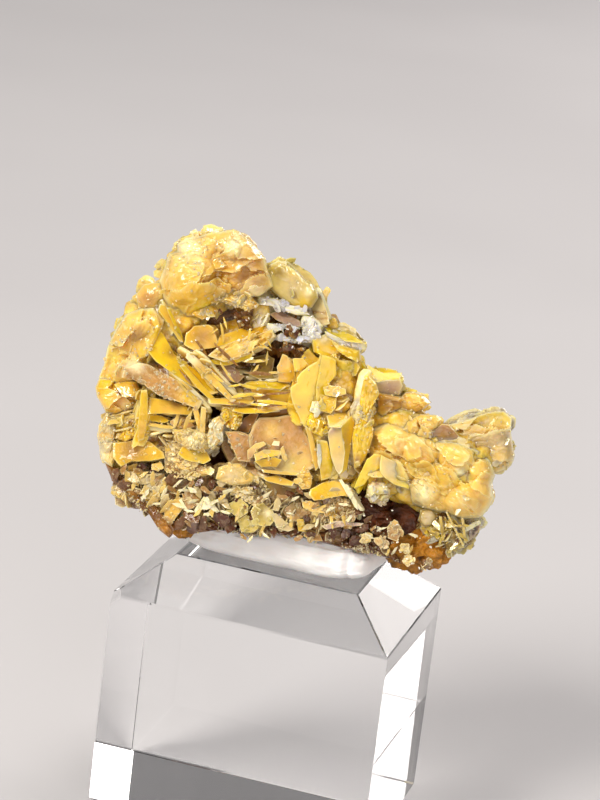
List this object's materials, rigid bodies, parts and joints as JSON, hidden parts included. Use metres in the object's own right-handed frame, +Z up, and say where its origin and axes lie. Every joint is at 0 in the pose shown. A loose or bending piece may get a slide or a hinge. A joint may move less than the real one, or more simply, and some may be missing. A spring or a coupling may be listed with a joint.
{
  "type": "wulfenite specimen",
  "caption": "Yellow wulfenite plates in clusters on a brown limonite matrix, fixed with white putty to a clear bevelled display block.",
  "frame": {"origin": "centre of the display block's underside", "axes": "+Z up, X along the block's long side, -Y towards the crystal face"},
  "size_m": [0.0396, 0.0206, 0.0581],
  "materials": {
    "acrylic": "clear, polished",
    "putty": "soft, thumb-smoothed",
    "limonite": "rough brown iron oxide with glossy faces",
    "wulfenite_cream": "waxy, see-through at the rims",
    "wulfenite_pale": "glassy, pale green-yellow",
    "wulfenite_lemon": "glassy, bright yellow",
    "wulfenite_honey": "glassy, honey yellow with white edges",
    "wulfenite_peach": "silky, peach",
    "wulfenite_tan": "sugary rubble of small plates"
  },
  "bodies": {
    "root": {"acrylic_block": "acrylic", "putty": "putty", "limonite_matrix": "limonite", "upper_left_crust": "wulfenite_cream", "right_crust": "wulfenite_cream", "upper_right_plates": "wulfenite_pale", "right_fan": "wulfenite_pale", "boxwork_druse": "wulfenite_pale", "lemon_blades": "wulfenite_lemon", "centre_blades": "wulfenite_honey", "lower_left_blades": "wulfenite_honey", "back_druse": "wulfenite_honey", "peach_plates": "wulfenite_peach", "lower_druse": "wulfenite_tan"}
  },
  "joints": []
}
